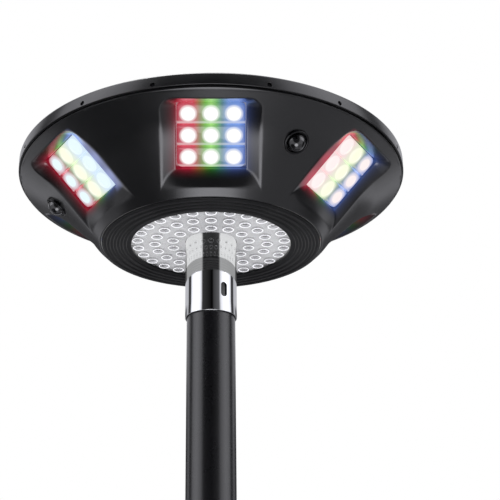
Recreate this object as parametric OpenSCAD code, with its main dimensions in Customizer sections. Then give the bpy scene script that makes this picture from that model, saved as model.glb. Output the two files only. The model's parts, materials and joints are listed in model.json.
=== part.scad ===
// Garden lamp post: a three-section round pole on a cross base, carrying a round solar head
// with six side lights, three motion sensors and a round downlight. All sizes in millimetres.
// The origin is on the floor, on the pole's axis. The front of the lamp faces -Y.

/* [Base] */
// Length of the cross base, from tip to tip of one pair of arms
base_length = 900; // [700:10:1100]
// Outer size of the square tube of the arms
arm_size = 40; // [30:1:50]
// Wall of the square tube
arm_wall = 2.5; // [1.5:0.1:4]
// Thickness of an end cap's outer plate
cap_plate = 3; // [2:0.5:5]
// Depth of an end cap's plug inside the tube
cap_plug = 16; // [10:1:25]
// Diameter of the screws that hold the end caps
cap_screw_d = 8; // [6:0.5:10]
// Distance from an arm's tip to its end cap's screw
cap_screw_inset = 14; // [10:1:18]
// Side of the square flange plate
flange_size = 200; // [160:5:240]
// Thickness of the flange plate
flange_t = 8; // [5:0.5:12]
// Diameter of the circle that the flange bolts lie on
bolt_circle = 200; // [150:5:220]
// Thread diameter of the flange bolts
bolt_d = 10; // [8:1:12]

/* [Pole] */
// Outer diameter of the pole
pole_d = 57; // [48:0.5:70]
// Wall of the pole tube
pole_wall = 2; // [1.5:0.1:3]
// Height of the lower joint above the floor
joint_1_z = 1000; // [800:10:1200]
// Height of the upper joint above the floor
joint_2_z = 2000; // [1700:10:2400]
// Length of the spigot that plugs into the section below
spigot_length = 80; // [50:5:120]
// Gap between a spigot and the tube around it
spigot_clearance = 0.3; // [0.1:0.05:0.5]
// Bevel at the ends of the tubes, which shows as a thin line at each joint
joint_bevel = 0.8; // [0.4:0.1:1.2]
// Diameter of the screw heads below the joints
joint_screw_d = 9; // [6:0.5:12]
// Distance from a joint down to its screw
joint_screw_drop = 30; // [20:1:45]

/* [Neck] */
// Height of the neck tube's lower edge above the floor
neck_z = 3000; // [2600:10:3400]
// Gap between the pole and the neck tube around it
neck_clearance = 0.5; // [0.3:0.1:1]
// Wall of the neck tube
neck_wall = 1.5; // [1:0.1:2.5]
// Height of the head's rim above the neck's lower edge
neck_to_rim = 180; // [160:5:260]
// Length of the oblong slot in the neck
slot_length = 18; // [12:1:24]
// Width of the slot
slot_width = 8; // [5:0.5:10]
// Height of the slot's middle above the neck's lower edge
slot_height = 27; // [20:1:40]
// Direction of the slot, in degrees from the front towards the right
slot_angle = 30; // [0:5:90]

/* [Head] */
// Diameter of the head's rim
rim_d = 470; // [430:5:520]
// Height of the upright rim band
band_h = 14; // [10:1:20]
// Distance from the rim's plane down to the band's lower edge
band_drop = 2.5; // [1:0.5:4]
// Wall of the moulded housing and cover
shell_wall = 3; // [2:0.1:4]
// Height of the dark groove between the band and the housing
groove_h = 2.5; // [1.5:0.5:4]
// Radius where the shallow flare turns into the steeper cone
crease_r = 190; // [180:1:200]
// Depth of that turn below the rim's plane
crease_drop = 30; // [26:1:34]
// Outer radius of the housing's lower edge
foot_r = 134; // [130:1:140]
// Depth of the housing's lower edge below the rim's plane
foot_drop = 86; // [80:1:92]
// Rise of the sloping bezel from the band to the solar panel
bezel_rise = 31; // [20:1:45]
// Radius of the solar panel
panel_r = 170; // [150:1:190]
// Thickness of the solar panel
panel_t = 3.5; // [2.5:0.5:5]
// Angles of the rim screws on each side of the front and of the back
rim_screw_angles = [15.5, 37, 68];
// Diameter of the rim screw heads
rim_screw_d = 4.8; // [3.5:0.1:6]

/* [Downlight] */
// Depth of the ring's underside below the housing's lower edge
ring_drop = 2; // [0:0.5:4]
// Radius of the round opening that the downlight shows through
window_r = 96; // [80:1:104]
// Depth of the downlight behind the ring's underside
window_depth = 4; // [3:0.5:6]
// Number of raised ribs on the ring
rib_count = 4; // [2:1:6]
// Width of a rib
rib_w = 3.5; // [2:0.5:5]
// Height of a rib
rib_h = 1.2; // [0.5:0.1:2]
// Thickness of the clear lens plate
plate_t = 2; // [1:0.5:3]
// Thickness of a circuit board
board_t = 1.6; // [1:0.1:2.5]
// Height of a small lens
lens_h = 1.5; // [0.8:0.1:2.5]
// Number of lenses in the outer, middle and inner ring
lens_counts = [26, 20, 14];
// Gap between the lenses of one ring and the next
lens_gap = 6.6; // [4:0.2:8]
// Distance from the window's edge to the middle of the outer ring of lenses
lens_inset = 7.4; // [7.2:0.2:9]
// Distance from the neck's hole to the middle of the inner ring of lenses
lens_neck_inset = 15.5; // [9:0.5:20]

/* [Side lights] */
// Number of side lights round the head
light_count = 6; // [6:1:6]
// Radius of the middle of a side light's face
light_r = 175; // [172:0.5:178]
// Depth of that point below the rim's plane
light_drop = 32; // [30:0.5:34]
// Tilt of the face from level
light_tilt = 42; // [40:1:46]
// Side of the square light
light_size = 75; // [70:1:78]
// Corner radius of the light
light_corner = 7; // [3:0.5:12]
// Thickness of the light's lens block
light_t = 5; // [4:0.5:6]
// Gap between the light and the foot of its pocket's walls
light_gap = 1.5; // [1:0.5:3]
// Spread of the pocket's side walls for each millimetre of depth
pocket_side_draft = 1.7; // [0.8:0.1:2]
// Spread of the pocket's lower wall for each millimetre of depth
pocket_low_draft = 1.05; // [0.6:0.05:1.1]
// Spread of the pocket's upper wall for each millimetre of depth
pocket_high_draft = 0.55; // [0.3:0.05:0.7]
// Rows and columns of LED lenses on a side light
light_cells = 3; // [2:1:4]
// Diameter of an LED lens on a side light
cell_d = 17; // [12:0.5:20]
// Height of an LED lens on a side light
cell_h = 1.5; // [0.5:0.1:2.5]

/* [Motion sensors] */
// Radius of the middle of a sensor
sensor_r = 188; // [184:0.5:192]
// Depth of that point below the rim's plane
sensor_drop = 33; // [30:0.5:36]
// Tilt of the sensor's face from level
sensor_tilt = 38; // [34:1:44]
// Diameter of the sensor's dome
dome_d = 22; // [18:0.5:24]
// Outer diameter of the ring round the dome
bezel_d = 29; // [27:0.5:32]
// Height of that ring above the housing
bezel_proud = 3; // [1.5:0.5:4]

/* [Hidden] */
fit = 0.2;             // gap between pieces that are laid or pushed into each other
hole_play = 0.5;       // how much larger a bolt hole is than its bolt, in radius

// Base
arm_reach = base_length / 2;
arm_inside = arm_size - 2 * arm_wall;
arm_directions = [45, 135, 225, 315];
cap_plug_side = arm_inside - 2 * fit;
cap_screw_h = 2.2;
cap_shank_r = 2;
cap_shank_length = 12;
flange_corner = 6;
flange_top = arm_size + flange_t;
bolt_flats = bolt_d * 1.7;
bolt_head_h = bolt_d * 0.64;
washer_t = 2;
bolt_depth = flange_t + arm_wall + 12;

// Pole
pole_r = pole_d / 2;
spigot_r = pole_r - pole_wall - spigot_clearance;
joint_screw_angle = -50;
joint_screw_shank_r = 2.4;
joint_screw_h = 2;

// Neck
neck_bore_r = pole_r + neck_clearance;
neck_r = neck_bore_r + neck_wall;
rim_z = neck_z + neck_to_rim;
socket_plug = 20;
socket_wall = 4;
socket_t = 4;

// Head shell: these heights are measured from the rim's plane
rim_r = rim_d / 2;
band_bottom = -band_drop;
band_top = band_h - band_drop;
shoulder_r = rim_r - 2;
shoulder_z = band_bottom - groove_h;
crease_z = -crease_drop;
foot_z = -foot_drop;
wall_rise = 1.4 * shell_wall;
lip_outer_r = rim_r - shell_wall - 1.5 * fit;
lip_inner_r = lip_outer_r - shell_wall;
lip_top = band_top - shell_wall;
panel_top = band_top + bezel_rise;
panel_seat = panel_top - panel_t;
bezel_edge_r = panel_r + 2;
bezel_slope = bezel_rise / (rim_r - bezel_edge_r);
panel_ledge = 10;

// Downlight
ring_z = foot_z - ring_drop;
seat_r = foot_r - 2.5;
ring_r = seat_r - fit;
window_z = ring_z + window_depth;
plate_r = window_r + 6;
board_z = window_z + plate_t;
ledge_z = board_z + board_t + 2 * fit;
ledge_t = 3;
ledge_r = seat_r - 7.5;
rib_pitch = (ring_r - window_r) / (rib_count + 0.5);
neck_hole_r = neck_r + 3 * fit;
lens_outer_r = window_r - lens_inset;
lens_pitch = (lens_outer_r - neck_hole_r - lens_neck_inset) / (len(lens_counts) - 1);
lens_d = lens_pitch - lens_gap;

// Rim screws
rim_screw_r = rim_screw_d / 2;
rim_screw_z = band_bottom + 4;
rim_shank_r = 1.3;
rim_directions = [for (half = [0, 180], side = [-1, 1], a = rim_screw_angles) half + side * a];

// Side lights
light_step = 360 / light_count;
cell_pitch = light_size / light_cells;
light_board_t = 1.2;
pocket_floor = light_size / 2 + light_gap;
pocket_depth = 40;

// Motion sensors
sensor_directions = [30, 150, 270];
dome_r = dome_d / 2;
sensor_body = 8;

$fn = 96;

// ---- Shared shapes ----

// Round tube standing on z = 0, with bevelled outer edges at both ends
module round_tube(outer_r, wall, height, bevel = 0) {
    rotate_extrude() polygon([
        [outer_r - wall, 0], [outer_r - bevel, 0], [outer_r, bevel],
        [outer_r, height - bevel], [outer_r - bevel, height], [outer_r - wall, height]
    ]);
}

// Square plate with round corners, standing on z = 0
module rounded_plate(side, corner, thickness) {
    inner = side - 2 * corner;
    linear_extrude(thickness) {
        square([side, inner], center = true);
        square([inner, side], center = true);
        for (x = [-1, 1], y = [-1, 1])
            translate([x * inner / 2, y * inner / 2]) circle(corner, $fn = 48);
    }
}

// Moves its children up to the rim's plane
module at_rim() {
    translate([0, 0, rim_z]) children();
}

// Local Z points away from the pole's axis and local Y points up. Directions are in
// degrees from the front towards the right.
module facing_out(direction, radius, height) {
    rotate([0, 0, direction]) translate([0, -radius, height]) rotate([90, 0, 0]) children();
}

// Local Z points out of a sloping face and local Y runs up the slope
module facing_slope(direction, radius, height, tilt) {
    rotate([0, 0, direction]) translate([0, -radius, height]) rotate([180 - tilt, 0, 0])
        children();
}

// ---- Base ----

// Square tube that lies along X, from x0 to x1
module square_tube(x0, x1) {
    difference() {
        translate([x0, -arm_size / 2, 0]) cube([x1 - x0, arm_size, arm_size]);
        translate([x0 - 1, -arm_inside / 2, arm_wall])
            cube([x1 - x0 + 2, arm_inside, arm_inside]);
    }
}

// Holes for the flange bolts, through the flange and the upper walls of the arms
module bolt_holes() {
    for (a = arm_directions)
        rotate([0, 0, a]) translate([bolt_circle / 2, 0, arm_size / 2])
            cylinder(r = bolt_d / 2 + hole_play, h = arm_size);
}

// Places its children where an end cap's screw goes in: on the side of each arm that faces
// clockwise, seen from above, with local Z pointing out of that side
module at_cap_screws() {
    for (a = arm_directions)
        rotate([0, 0, a]) translate([arm_reach - cap_screw_inset, -arm_size / 2, arm_size / 2])
            rotate([90, 0, 0]) children();
}

module cap_screw_holes() {
    at_cap_screws() translate([0, 0, -cap_shank_length - 1])
        cylinder(r = cap_shank_r + fit, h = cap_shank_length + 2, $fn = 24);
}

module end_cap_screws() {
    color("#b9bbbd") at_cap_screws() {
        cylinder(d = cap_screw_d, h = cap_screw_h, $fn = 32);
        translate([0, 0, -cap_shank_length])
            cylinder(r = cap_shank_r, h = cap_shank_length, $fn = 24);
    }
}

module base_long_bar() {
    color("#1c1d1f") difference() {
        rotate([0, 0, 45]) square_tube(cap_plate - arm_reach, arm_reach - cap_plate);
        bolt_holes();
        cap_screw_holes();
    }
}

module base_half_bar(direction) {
    color("#1c1d1f") difference() {
        rotate([0, 0, direction]) square_tube(arm_size / 2, arm_reach - cap_plate);
        bolt_holes();
        cap_screw_holes();
    }
}

module end_cap(direction) {
    color("#121212") difference() {
        rotate([0, 0, direction]) {
            translate([arm_reach - cap_plate, -arm_size / 2, 0])
                cube([cap_plate, arm_size, arm_size]);
            translate([arm_reach - cap_plate - cap_plug, -cap_plug_side / 2, arm_wall + fit])
                cube([cap_plug, cap_plug_side, cap_plug_side]);
        }
        cap_screw_holes();
    }
}

module base_flange() {
    color("#1f2022") difference() {
        translate([0, 0, arm_size]) rounded_plate(flange_size, flange_corner, flange_t);
        bolt_holes();
    }
}

module flange_bolts() {
    color("#202123") for (a = arm_directions)
        rotate([0, 0, a]) translate([bolt_circle / 2, 0, flange_top]) {
            cylinder(r = bolt_d, h = washer_t);
            translate([0, 0, washer_t])
                cylinder(r = bolt_flats / sqrt(3), h = bolt_head_h, $fn = 6);
            translate([0, 0, -bolt_depth]) cylinder(r = bolt_d / 2, h = bolt_depth);
        }
}

// ---- Pole ----

// Places its children at each joint screw
module at_joint_screws() {
    for (z = [joint_1_z, joint_2_z])
        facing_out(joint_screw_angle, pole_r, z - joint_screw_drop) children();
}

// Pole section from z0 to z1. With a spigot, its lower end plugs into the section below.
module pole_section(z0, z1, spigot) {
    color("#17181a") difference() {
        union() {
            translate([0, 0, z0]) round_tube(pole_r, pole_wall, z1 - z0, joint_bevel);
            if (spigot) translate([0, 0, z0 - spigot_length]) {
                round_tube(spigot_r, pole_wall, spigot_length + pole_wall);
                translate([0, 0, spigot_length])
                    round_tube(spigot_r + pole_wall / 2, pole_wall, pole_wall);
            }
        }
        at_joint_screws() translate([0, 0, -4 * pole_wall])
            cylinder(r = joint_screw_shank_r + fit, h = 6 * pole_wall, $fn = 32);
    }
}

module pole_lower() { pole_section(flange_top, joint_1_z, false); }
module pole_middle() { pole_section(joint_1_z, joint_2_z, true); }
module pole_upper() { pole_section(joint_2_z, rim_z + ledge_z - socket_plug, true); }

module pole_joint_screws() {
    shank = 2 * pole_wall + spigot_clearance + 1;
    color("#101011") at_joint_screws() {
        cylinder(d = joint_screw_d, h = joint_screw_h, $fn = 32);
        translate([0, 0, -shank]) cylinder(r = joint_screw_shank_r, h = shank, $fn = 32);
    }
}

// ---- Neck ----

module neck_tube() {
    straight = slot_length - slot_width;
    color("#d9dcdf") difference() {
        translate([0, 0, neck_z])
            round_tube(neck_r, neck_wall, neck_to_rim + ledge_z, neck_wall / 4);
        facing_out(slot_angle, neck_bore_r - neck_wall, neck_z + slot_height)
            linear_extrude(3 * neck_wall) {
                square([slot_width, straight], center = true);
                for (s = [-1, 1]) translate([0, s * straight / 2])
                    circle(d = slot_width, $fn = 48);
            }
    }
}

// Plate inside the head, with a plug that stands on the pole's top inside the neck
module head_socket() {
    color("#303235") at_rim() {
        translate([0, 0, ledge_z]) cylinder(r = ledge_r - 1, h = socket_t);
        translate([0, 0, ledge_z - socket_plug])
            round_tube(neck_bore_r - fit, socket_wall, socket_plug);
    }
}

// ---- Head shell ----

// Radius of the steep cone's outer face at height z
function cone_r(z) = foot_r + (z - foot_z) * (crease_r - foot_r) / (crease_z - foot_z);

// Height of the bezel's outer face at radius r
function bezel_z(r) = band_top + (rim_r - r) * bezel_slope;

module housing_shell() {
    ledge_top = ledge_z + ledge_t;
    rotate_extrude($fn = 180) polygon([
        [seat_r, foot_z], [foot_r, foot_z], [crease_r, crease_z], [shoulder_r, shoulder_z],
        [lip_outer_r, shoulder_z], [lip_outer_r, lip_top], [lip_inner_r, lip_top],
        [lip_inner_r, shoulder_z + wall_rise], [crease_r, crease_z + wall_rise],
        [cone_r(ledge_top - wall_rise), ledge_top], [ledge_r, ledge_top],
        [ledge_r, ledge_z], [seat_r, ledge_z]
    ]);
}

// Everything inside the housing's outer face
module housing_envelope() {
    rotate_extrude($fn = 180) polygon([
        [0, foot_z], [foot_r, foot_z], [crease_r, crease_z], [shoulder_r, shoulder_z],
        [0, shoulder_z]
    ]);
}

// Four-sided pocket that widens towards local +Z from a square floor at z = 0
module pocket(grow) {
    w = pocket_floor + grow;
    side = w + pocket_depth * pocket_side_draft;
    low = w + pocket_depth * pocket_low_draft;
    high = w + pocket_depth * pocket_high_draft;
    polyhedron(
        points = [
            [-w, -w, 0], [w, -w, 0], [w, w, 0], [-w, w, 0],
            [-side, -low, pocket_depth], [side, -low, pocket_depth],
            [side, high, pocket_depth], [-side, high, pocket_depth]
        ],
        faces = [
            [0, 1, 2, 3], [7, 6, 5, 4], [0, 4, 5, 1], [1, 5, 6, 2], [2, 6, 7, 3], [3, 7, 4, 0]
        ]
    );
}

// Places its children on the floor of pocket k
module at_pocket(k) {
    facing_slope(k * light_step, light_r, -light_drop, light_tilt)
        translate([0, 0, -light_t]) children();
}

// Places its children at the middle of motion sensor k
module at_sensor(k) {
    facing_slope(sensor_directions[k], sensor_r, -sensor_drop, sensor_tilt) children();
}

// Shell with a pocket for each side light and a hole for each motion sensor
module lower_housing() {
    color("#2a2c2f") at_rim() difference() {
        union() {
            housing_shell();
            intersection() {
                housing_envelope();
                union() for (k = [0 : light_count - 1])
                    at_pocket(k) translate([0, 0, -shell_wall]) pocket(0);
            }
        }
        for (k = [0 : light_count - 1]) at_pocket(k) pocket(0);
        for (k = [0 : 2]) at_sensor(k) translate([0, 0, -2 * sensor_body])
            cylinder(r = bezel_d / 2 + fit / 2, h = 4 * sensor_body);
        for (a = rim_directions) facing_out(a, lip_inner_r - 1, rim_screw_z)
            cylinder(r = rim_shank_r + fit / 2, h = shell_wall + 3, $fn = 24);
    }
}

// Sloping bezel with the upright rim band, and a seat for the solar panel
module top_cover() {
    band_inner_r = rim_r - shell_wall;
    step_r = lip_inner_r - 1;
    ledge_out_r = bezel_edge_r + shell_wall;
    color("#26282b") at_rim() difference() {
        rotate_extrude($fn = 180) polygon([
            [band_inner_r, band_bottom], [rim_r, band_bottom], [rim_r, band_top],
            [bezel_edge_r, panel_top], [panel_r + fit, panel_top], [panel_r + fit, panel_seat],
            [panel_r - panel_ledge, panel_seat], [panel_r - panel_ledge, panel_seat - shell_wall],
            [ledge_out_r, panel_seat - shell_wall],
            [ledge_out_r, bezel_z(ledge_out_r) - 1.2 * shell_wall],
            [step_r, bezel_z(step_r) - 1.2 * shell_wall],
            [step_r, lip_top], [band_inner_r, lip_top]
        ]);
        for (a = rim_directions) facing_out(a, band_inner_r - 1, rim_screw_z)
            cylinder(r = rim_screw_r + fit / 2, h = shell_wall + 2, $fn = 32);
    }
}

module solar_panel() {
    color("#101b33") at_rim() translate([0, 0, panel_seat])
        cylinder(r = panel_r, h = panel_t, $fn = 180);
}

module rim_screws() {
    head_h = rim_r - lip_outer_r - 1;
    shank = shell_wall + 1;
    color("#0c0c0d") at_rim() for (a = rim_directions) facing_out(a, lip_outer_r, rim_screw_z) {
        cylinder(r = rim_screw_r, h = head_h, $fn = 32);
        translate([0, 0, -shank]) cylinder(r = rim_shank_r, h = shank, $fn = 24);
    }
}

// ---- Downlight ----

module bottom_ring() {
    face_z = ring_z + rib_h;
    plate_seat_r = plate_r + fit;
    color("#202124") at_rim() rotate_extrude($fn = 180) {
        polygon([
            [window_r, face_z], [ring_r, face_z], [ring_r, ledge_z], [plate_seat_r, ledge_z],
            [plate_seat_r, window_z], [window_r, window_z]
        ]);
        for (i = [1 : rib_count])
            translate([window_r + i * rib_pitch - rib_w / 2, ring_z]) square([rib_w, 2 * rib_h]);
    }
}

module downlight_board() {
    color("#e8e9e6") at_rim() translate([0, 0, board_z]) difference() {
        cylinder(r = plate_r, h = board_t);
        translate([0, 0, -1]) cylinder(r = neck_hole_r, h = board_t + 2);
    }
}

// Clear plate with three rings of small lenses on its underside
module downlight_lens() {
    color("#dfe3e8", 0.5) at_rim() translate([0, 0, window_z]) {
        difference() {
            cylinder(r = plate_r, h = plate_t);
            translate([0, 0, -1]) cylinder(r = neck_hole_r, h = plate_t + 2);
        }
        for (i = [0 : len(lens_counts) - 1], j = [0 : lens_counts[i] - 1])
            rotate([0, 0, 360 * j / lens_counts[i]])
                translate([0, i * lens_pitch - lens_outer_r, -lens_h])
                    cylinder(d = lens_d, h = lens_h, $fn = 32);
    }
}

// ---- Side lights ----

module side_light(k) {
    last = (light_cells - 1) / 2;
    color("#eef3ff") at_rim() at_pocket(k) {
        translate([0, 0, light_board_t])
            rounded_plate(light_size, light_corner, light_t - light_board_t);
        for (i = [-last : last], j = [-last : last])
            translate([i * cell_pitch, j * cell_pitch, light_t])
                cylinder(d = cell_d, h = cell_h, $fn = 32);
    }
}

module side_light_board(k) {
    color("#cfd2d4") at_rim() at_pocket(k) rounded_plate(light_size, light_corner, light_board_t);
}

// ---- Motion sensors ----

module motion_sensor(k) {
    color("#0a0a0b") at_rim() at_sensor(k) {
        intersection() {
            sphere(dome_r);
            translate([-dome_r, -dome_r, 0]) cube(2 * dome_r);
        }
        translate([0, 0, -sensor_body]) cylinder(r = dome_r, h = sensor_body);
    }
}

module sensor_ring(k) {
    color("#141416") at_rim() at_sensor(k) translate([0, 0, -sensor_body])
        round_tube(bezel_d / 2, bezel_d / 2 - dome_r - fit, sensor_body + bezel_proud, 1);
}

// ---- Assembly ----

base_long_bar();
base_half_bar(315);  // base_half_bar_front_right
base_half_bar(135);  // base_half_bar_rear_left
end_cap(45);  // end_cap_rear_right
end_cap(135);  // end_cap_rear_left
end_cap(225);  // end_cap_front_left
end_cap(315);  // end_cap_front_right
end_cap_screws();
base_flange();
flange_bolts();
pole_lower();
pole_middle();
pole_upper();
pole_joint_screws();
neck_tube();
head_socket();
lower_housing();
top_cover();
solar_panel();
rim_screws();
bottom_ring();
downlight_board();
downlight_lens();
for (k = [1 : light_count]) {
    side_light(k - 1);
    side_light_board(k - 1);
}
for (k = [1 : 3]) {
    motion_sensor(k - 1);
    sensor_ring(k - 1);
}
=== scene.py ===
"""Solar lamp post: a round head with six coloured side lights on a three-section pole and a cross base."""
import json
from math import acos, atan2, cos, hypot, pi, radians, sin, sqrt, tan

import bmesh
import bpy
import numpy as np
from mathutils import Matrix, Vector


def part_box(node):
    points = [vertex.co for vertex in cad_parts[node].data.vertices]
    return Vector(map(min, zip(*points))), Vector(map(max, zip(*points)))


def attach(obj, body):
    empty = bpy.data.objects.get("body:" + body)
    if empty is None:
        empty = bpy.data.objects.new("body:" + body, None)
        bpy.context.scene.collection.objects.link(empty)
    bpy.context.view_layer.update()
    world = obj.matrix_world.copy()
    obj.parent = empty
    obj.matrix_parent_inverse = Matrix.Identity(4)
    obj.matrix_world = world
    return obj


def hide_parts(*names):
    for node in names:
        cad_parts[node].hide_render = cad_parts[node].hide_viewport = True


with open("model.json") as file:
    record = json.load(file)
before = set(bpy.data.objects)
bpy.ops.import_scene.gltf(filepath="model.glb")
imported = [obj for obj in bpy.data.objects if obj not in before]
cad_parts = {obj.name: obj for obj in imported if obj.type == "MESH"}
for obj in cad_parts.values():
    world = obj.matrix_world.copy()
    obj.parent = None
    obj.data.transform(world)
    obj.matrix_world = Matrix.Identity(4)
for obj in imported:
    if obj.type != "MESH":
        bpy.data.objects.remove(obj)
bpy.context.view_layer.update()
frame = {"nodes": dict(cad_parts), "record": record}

MM = 0.001
ROOT = "root"
SEGMENTS = 192

# ---- Sizes, from the frame, in metres ----

NODES = frame["nodes"]
BOX = {name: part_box(name) for name in NODES}

band_low = BOX["top_cover"][0].z
rim_r = BOX["top_cover"][1].x
panel_top = BOX["solar_panel"][1].z
panel_low = BOX["solar_panel"][0].z
panel_r = BOX["solar_panel"][1].x
foot_z = BOX["lower_housing"][0].z
lip_top = BOX["lower_housing"][1].z
ring_z = BOX["bottom_ring"][0].z
ring_top = BOX["bottom_ring"][1].z
ring_r = BOX["bottom_ring"][1].x
lens_top = BOX["downlight_lens"][1].z
board_top = BOX["downlight_board"][1].z
neck_low, neck_top = BOX["neck_tube"][0].z, BOX["neck_tube"][1].z
neck_r = BOX["neck_tube"][1].x
pole_r = BOX["pole_lower"][1].x
pole_low = BOX["pole_lower"][0].z
joint_z = [BOX["pole_lower"][1].z, BOX["pole_middle"][1].z]
pole_top = BOX["pole_upper"][1].z
flange_low, flange_top = BOX["base_flange"][0].z, BOX["base_flange"][1].z
flange_half = BOX["base_flange"][1].x

# The rim's plane, and sizes of the head, pole and base that a box can't give
rim_z = band_low + 2.5 * MM
foot_r = 134 * MM
crease_r = 190 * MM
crease_z = rim_z - 30 * MM
shoulder_r = rim_r - 2 * MM
shoulder_z = band_low - 2.5 * MM
rim_screw_z = band_low + 4 * MM
light_r = 175 * MM
light_drop = 32 * MM
light_tilt = radians(42)
light_size = 75 * MM
light_t = 5 * MM
led_pitch = light_size / 3
pocket_half = light_size / 2 + 1.2 * MM
pocket_side = 55 * MM
pocket_low = 55.5 * MM
pocket_arch = 4.5 * MM
pocket_high = 47 * MM
pocket_corner = 15 * MM
foot_corner = 5 * MM
wall_foot = 0.8 * MM
sensor_r = 188 * MM
sensor_drop = 33 * MM
sensor_tilt = radians(38)
dome_r = 11 * MM
bezel_r = 14.5 * MM
plate_hole_r = neck_r + 0.6 * MM
plate_r = 102 * MM
arm_size = 40 * MM
arm_reach = 450 * MM
bolt_r = 100 * MM
cap_plate = 3 * MM
cap_screw_inset = 14 * MM
joint_screw_drop = 30 * MM

# Directions round the pole, in degrees
LIGHT_COUNT = 6
SECTOR = 360 / LIGHT_COUNT
SENSOR_DIRECTIONS = [30, 150, 270]
ARM_DIRECTIONS = [45, 135, 225, 315]
SLOT_DIRECTION = 30
JOINT_SCREW_DIRECTION = -50
RIM_SCREW_DIRECTIONS = [
    half + side * a for half in (0, 180) for side in (-1, 1) for a in (15.5, 37, 68)]


# ---- Helpers for shapes ----

def frame_at(direction, radius, height, tilt=None):
    """Matrix of a local frame on the head or pole. Z points away from the axis, or, with a tilt from
    level, out of a face that slopes down; Y runs up. Directions are degrees from -Y towards +X."""
    about_x = pi / 2 if tilt is None else pi - tilt
    turn = Matrix.Rotation(radians(direction), 4, "Z")
    return turn @ Matrix.Translation((0, -radius, height)) @ Matrix.Rotation(about_x, 4, "X")


def scene_object(name, data):
    made = bpy.data.objects.new(name, data)
    bpy.context.scene.collection.objects.link(made)
    return made


def add_piece(name, mesh, material, node=None, smooth=40):
    """Links a mesh as a piece that rides on the one body and replaces a CAD node, if one is given.
    Its one slot holds the given material."""
    piece = scene_object(name, mesh)
    mesh.materials.append(MAT[material])
    mesh.shade_smooth()
    mesh.set_sharp_from_angle(angle=radians(smooth))
    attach(piece, ROOT)
    if node:
        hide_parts(node)
    return piece


def mesh_from(name, verts, faces):
    mesh = bpy.data.meshes.new(name)
    mesh.from_pydata([tuple(v) for v in verts], [], faces)
    mesh.validate()
    return mesh


def from_bmesh(name, bm):
    mesh = bpy.data.meshes.new(name)
    bmesh.ops.recalc_face_normals(bm, faces=bm.faces)
    bm.to_mesh(mesh)
    bm.free()
    return mesh


def mm(*pairs):
    """Pairs of millimetres as pairs of metres."""
    return [(a * MM, b * MM) for a, b in pairs]


def rounded(points, radii, steps=4, closed=False):
    """A polyline with its corners replaced by arcs. Radii are millimetres: one, or one a point."""
    n = len(points)
    radii = [radii] * n if isinstance(radii, (int, float)) else radii
    out = []
    for i, (point, radius) in enumerate(zip(points, radii)):
        p = np.array(point, float)
        end = not closed and i in (0, n - 1)
        if end or radius <= 0:
            out.append(tuple(p))
            continue
        a, b = np.array(points[i - 1], float) - p, np.array(points[(i + 1) % n], float) - p
        la, lb = np.linalg.norm(a), np.linalg.norm(b)
        a, b = a / la, b / lb
        half = acos(max(-1, min(1, float(a @ b)))) / 2
        cut = min(radius * MM / tan(half), 0.49 * la, 0.49 * lb)
        start, stop = p + a * cut, p + b * cut
        centre = p + (a + b) / np.linalg.norm(a + b) * cut / cos(half)
        first = atan2(*(start - centre)[::-1])
        sweep = (atan2(*(stop - centre)[::-1]) - first + pi) % (2 * pi) - pi
        size = np.linalg.norm(start - centre)
        for k in range(steps + 1):
            angle = first + sweep * k / steps
            out.append((centre[0] + size * cos(angle), centre[1] + size * sin(angle)))
    return out


def lathe_bmesh(bm, profile, segments=SEGMENTS, matrix=None, closed=True):
    """Turns a profile of (radius, height) pairs about local Z and adds it to a bmesh."""
    matrix = matrix or Matrix.Identity(4)
    turns = [2 * pi * k / segments for k in range(segments)]
    rows = []
    for r, z in profile:
        if r < 1e-7:
            places = [Vector((0, 0, z))]
        else:
            places = [Vector((r * cos(t), r * sin(t), z)) for t in turns]
        rows.append([bm.verts.new(matrix @ place) for place in places])
    pairs = list(zip(rows, rows[1:] + rows[:1])) if closed else list(zip(rows, rows[1:]))
    for low, high in pairs:
        for k in range(segments):
            corners = [low[k % len(low)], low[(k + 1) % len(low)],
                       high[(k + 1) % len(high)], high[k % len(high)]]
            corners = list(dict.fromkeys(corners))
            if len(corners) > 2:
                bm.faces.new(corners)


def lathe(name, profile, segments=SEGMENTS, matrix=None, closed=True):
    bm = bmesh.new()
    lathe_bmesh(bm, profile, segments, matrix, closed)
    return from_bmesh(name, bm)


def outline_square(side, radius, steps=6):
    """Square outline with round corners, as (x, y) pairs, anticlockwise."""
    h = side / 2
    return rounded([(-h, -h), (h, -h), (h, h), (-h, h)], radius, steps, closed=True)


def prism_bmesh(bm, outline, levels, matrix=None):
    """Stacks scaled copies of an outline. levels holds (z, inset) pairs from bottom to top; the ends
    are closed. The inset is a distance from the outline towards its middle."""
    matrix = matrix or Matrix.Identity(4)
    pts = np.array(outline)
    reach = np.abs(pts).max(0)
    rows = []
    for z, inset in levels:
        scale = 1 - inset / reach
        rows.append([bm.verts.new(matrix @ Vector((x * scale[0], y * scale[1], z))) for x, y in pts])
    n = len(pts)
    for low, high in zip(rows, rows[1:]):
        for k in range(n):
            bm.faces.new([low[k], low[(k + 1) % n], high[(k + 1) % n], high[k]])
    bm.faces.new(rows[0][::-1])
    bm.faces.new(rows[-1])


def prism_piece(name, outline, levels, place, material, node, smooth=30):
    bm = bmesh.new()
    prism_bmesh(bm, outline, levels, place)
    add_piece(name, from_bmesh(name, bm), material, node, smooth=smooth)


def cut_away(piece, cutter_mesh):
    """Subtracts a mesh from a piece and applies the result."""
    cutter = scene_object("cutter", cutter_mesh)
    modifier = piece.modifiers.new("cut", "BOOLEAN")
    modifier.operation = "DIFFERENCE"
    modifier.solver = "EXACT"
    modifier.object = cutter
    bpy.context.view_layer.update()
    result = bpy.data.meshes.new_from_object(
        piece.evaluated_get(bpy.context.evaluated_depsgraph_get()))
    piece.modifiers.clear()
    piece.data = result
    bpy.data.objects.remove(cutter)


# ---- Helpers for materials ----

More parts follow.
